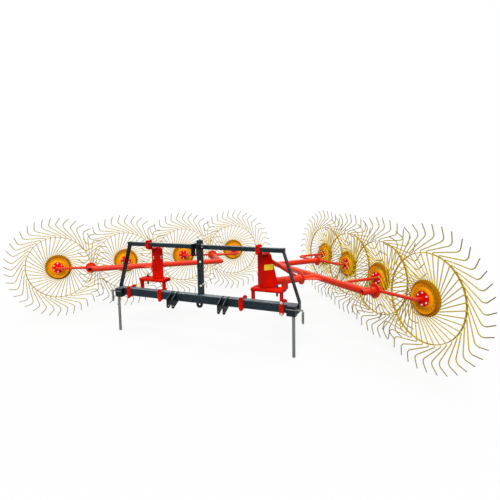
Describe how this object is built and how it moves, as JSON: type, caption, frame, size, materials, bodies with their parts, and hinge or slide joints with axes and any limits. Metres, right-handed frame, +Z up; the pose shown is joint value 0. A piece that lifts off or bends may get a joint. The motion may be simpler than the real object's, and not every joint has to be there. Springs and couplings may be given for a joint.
{
  "type": "wheel rake",
  "caption": "Mounted wheel rake: a three-point hitch frame with two swinging arms set in a V, each carrying free-turning tined wheels on cranks, and sliding parking legs.",
  "frame": {"origin": "on the ground under the middle of the rake's box, as it stands parked on its wheels and parking legs", "axes": "+X to the right seen from the hitch side, along the beams and the widest extent; +Y to the rear, away from the tractor; +Z up, the shortest extent"},
  "size_m": [5.9264, 3.342, 1.4233],
  "materials": {
    "frame_paint": "satin slate paint",
    "arm_paint": "gloss red paint",
    "column_paint": "gloss deep red paint",
    "tine_wire": "yellow coated spring wire",
    "hub_paint": "gloss orange paint",
    "bearing_paint": "gloss red paint",
    "steel": "bare zinc coated steel"
  },
  "bodies": {
    "frame": {"lower_beam": "frame_paint", "upper_beam": "frame_paint", "side_posts": "frame_paint", "hitch_mast": "frame_paint", "top_link_ears": "frame_paint", "lower_link_ears": "frame_paint", "beam_lug": "frame_paint", "leg_sleeves": "frame_paint", "leg_lock_pins": "steel", "carrier_bases": "column_paint", "beam_clamps": "column_paint", "upper_pivot_lugs": "column_paint"},
    "parking_leg_right": {"parking_leg_right": "steel"},
    "arm_right": {"column_right": "column_paint", "outrigger_right": "arm_paint", "arm_brace_right": "arm_paint", "arm_tube_right": "arm_paint", "cross_tube_front_right": "arm_paint", "cross_tube_rear_right": "arm_paint"},
    "crank_right_3": {"crank_right_3": "arm_paint"},
    "wheel_right_3": {"tines_right_3": "tine_wire", "hub_plates_right_3": "hub_paint", "hub_bearing_right_3": "bearing_paint"},
    "crank_right_4": {"crank_right_4": "arm_paint"},
    "wheel_right_4": {"tines_right_4": "tine_wire", "hub_plates_right_4": "hub_paint", "hub_bearing_right_4": "bearing_paint"},
    "crank_right_1": {"crank_right_1": "arm_paint"},
    "wheel_right_1": {"tines_right_1": "tine_wire", "hub_plates_right_1": "hub_paint", "hub_bearing_right_1": "bearing_paint"},
    "crank_right_2": {"crank_right_2": "arm_paint"},
    "wheel_right_2": {"tines_right_2": "tine_wire", "hub_plates_right_2": "hub_paint", "hub_bearing_right_2": "bearing_paint"},
    "parking_leg_left": {"parking_leg_left": "steel"},
    "arm_left": {"column_left": "column_paint", "outrigger_left": "arm_paint", "arm_brace_left": "arm_paint", "arm_tube_left": "arm_paint", "cross_tube_front_left": "arm_paint", "cross_tube_rear_left": "arm_paint"},
    "crank_left_3": {"crank_left_3": "arm_paint"},
    "wheel_left_3": {"tines_left_3": "tine_wire", "hub_plates_left_3": "hub_paint", "hub_bearing_left_3": "bearing_paint"},
    "crank_left_4": {"crank_left_4": "arm_paint"},
    "wheel_left_4": {"tines_left_4": "tine_wire", "hub_plates_left_4": "hub_paint", "hub_bearing_left_4": "bearing_paint"},
    "crank_left_1": {"crank_left_1": "arm_paint"},
    "wheel_left_1": {"tines_left_1": "tine_wire", "hub_plates_left_1": "hub_paint", "hub_bearing_left_1": "bearing_paint"},
    "crank_left_2": {"crank_left_2": "arm_paint"},
    "wheel_left_2": {"tines_left_2": "tine_wire", "hub_plates_left_2": "hub_paint", "hub_bearing_left_2": "bearing_paint"}
  },
  "joints": [
    {"name": "parking_leg_right_slide", "type": "slide", "parent": "frame", "child": "parking_leg_right", "axis": [0, 0, 1], "range_m": [0, 0.3]},
    {"name": "arm_right_swing", "type": "hinge", "parent": "frame", "child": "arm_right", "pos_m": [0.75634, -1.08991, 0.66014], "axis": [0, 0, -1], "range_deg": [-5, 10]},
    {"name": "crank_right_3_lift", "type": "hinge", "parent": "arm_right", "child": "crank_right_3", "pos_m": [1.9413, -1.06076, 0.71164], "axis": [-0.6428, -0.766, 0], "range_deg": [0, 25]},
    {"name": "wheel_right_3_spin", "type": "hinge", "parent": "crank_right_3", "child": "wheel_right_3", "pos_m": [1.89091, -0.40363, 0.71164], "axis": [0.6428, 0.766, 0], "continuous": true},
    {"name": "crank_right_4_lift", "type": "hinge", "parent": "arm_right", "child": "crank_right_4", "pos_m": [1.9413, -1.06076, 0.71164], "axis": [0.6428, 0.766, 0], "range_deg": [0, 25]},
    {"name": "wheel_right_4_spin", "type": "hinge", "parent": "crank_right_4", "child": "wheel_right_4", "pos_m": [2.41581, -1.2109, 0.71164], "axis": [0.6428, 0.766, 0], "continuous": true},
    {"name": "crank_right_1_lift", "type": "hinge", "parent": "arm_right", "child": "crank_right_1", "pos_m": [0.89149, 0.55377, 0.71164], "axis": [-0.6428, -0.766, 0], "range_deg": [0, 25]},
    {"name": "wheel_right_1_spin", "type": "hinge", "parent": "crank_right_1", "child": "wheel_right_1", "pos_m": [0.8411, 1.2109, 0.71164], "axis": [0.6428, 0.766, 0], "continuous": true},
    {"name": "crank_right_2_lift", "type": "hinge", "parent": "arm_right", "child": "crank_right_2", "pos_m": [0.89149, 0.55377, 0.71164], "axis": [0.6428, 0.766, 0], "range_deg": [0, 25]},
    {"name": "wheel_right_2_spin", "type": "hinge", "parent": "crank_right_2", "child": "wheel_right_2", "pos_m": [1.366, 0.40363, 0.71164], "axis": [0.6428, 0.766, 0], "continuous": true},
    {"name": "parking_leg_left_slide", "type": "slide", "parent": "frame", "child": "parking_leg_left", "axis": [0, 0, 1], "range_m": [0, 0.3]},
    {"name": "arm_left_swing", "type": "hinge", "parent": "frame", "child": "arm_left", "pos_m": [-0.75634, -1.08991, 0.66014], "axis": [0, 0, 1], "range_deg": [-5, 10]},
    {"name": "crank_left_3_lift", "type": "hinge", "parent": "arm_left", "child": "crank_left_3", "pos_m": [-1.9413, -1.06076, 0.71164], "axis": [-0.6428, 0.766, 0], "range_deg": [0, 25]},
    {"name": "wheel_left_3_spin", "type": "hinge", "parent": "crank_left_3", "child": "wheel_left_3", "pos_m": [-1.89091, -0.40363, 0.71164], "axis": [-0.6428, 0.766, 0], "continuous": true},
    {"name": "crank_left_4_lift", "type": "hinge", "parent": "arm_left", "child": "crank_left_4", "pos_m": [-1.9413, -1.06076, 0.71164], "axis": [0.6428, -0.766, 0], "range_deg": [0, 25]},
    {"name": "wheel_left_4_spin", "type": "hinge", "parent": "crank_left_4", "child": "wheel_left_4", "pos_m": [-2.41581, -1.2109, 0.71164], "axis": [-0.6428, 0.766, 0], "continuous": true},
    {"name": "crank_left_1_lift", "type": "hinge", "parent": "arm_left", "child": "crank_left_1", "pos_m": [-0.89149, 0.55377, 0.71164], "axis": [-0.6428, 0.766, 0], "range_deg": [0, 25]},
    {"name": "wheel_left_1_spin", "type": "hinge", "parent": "crank_left_1", "child": "wheel_left_1", "pos_m": [-0.8411, 1.2109, 0.71164], "axis": [-0.6428, 0.766, 0], "continuous": true},
    {"name": "crank_left_2_lift", "type": "hinge", "parent": "arm_left", "child": "crank_left_2", "pos_m": [-0.89149, 0.55377, 0.71164], "axis": [0.6428, -0.766, 0], "range_deg": [0, 25]},
    {"name": "wheel_left_2_spin", "type": "hinge", "parent": "crank_left_2", "child": "wheel_left_2", "pos_m": [-1.366, 0.40363, 0.71164], "axis": [-0.6428, 0.766, 0], "continuous": true}
  ]
}
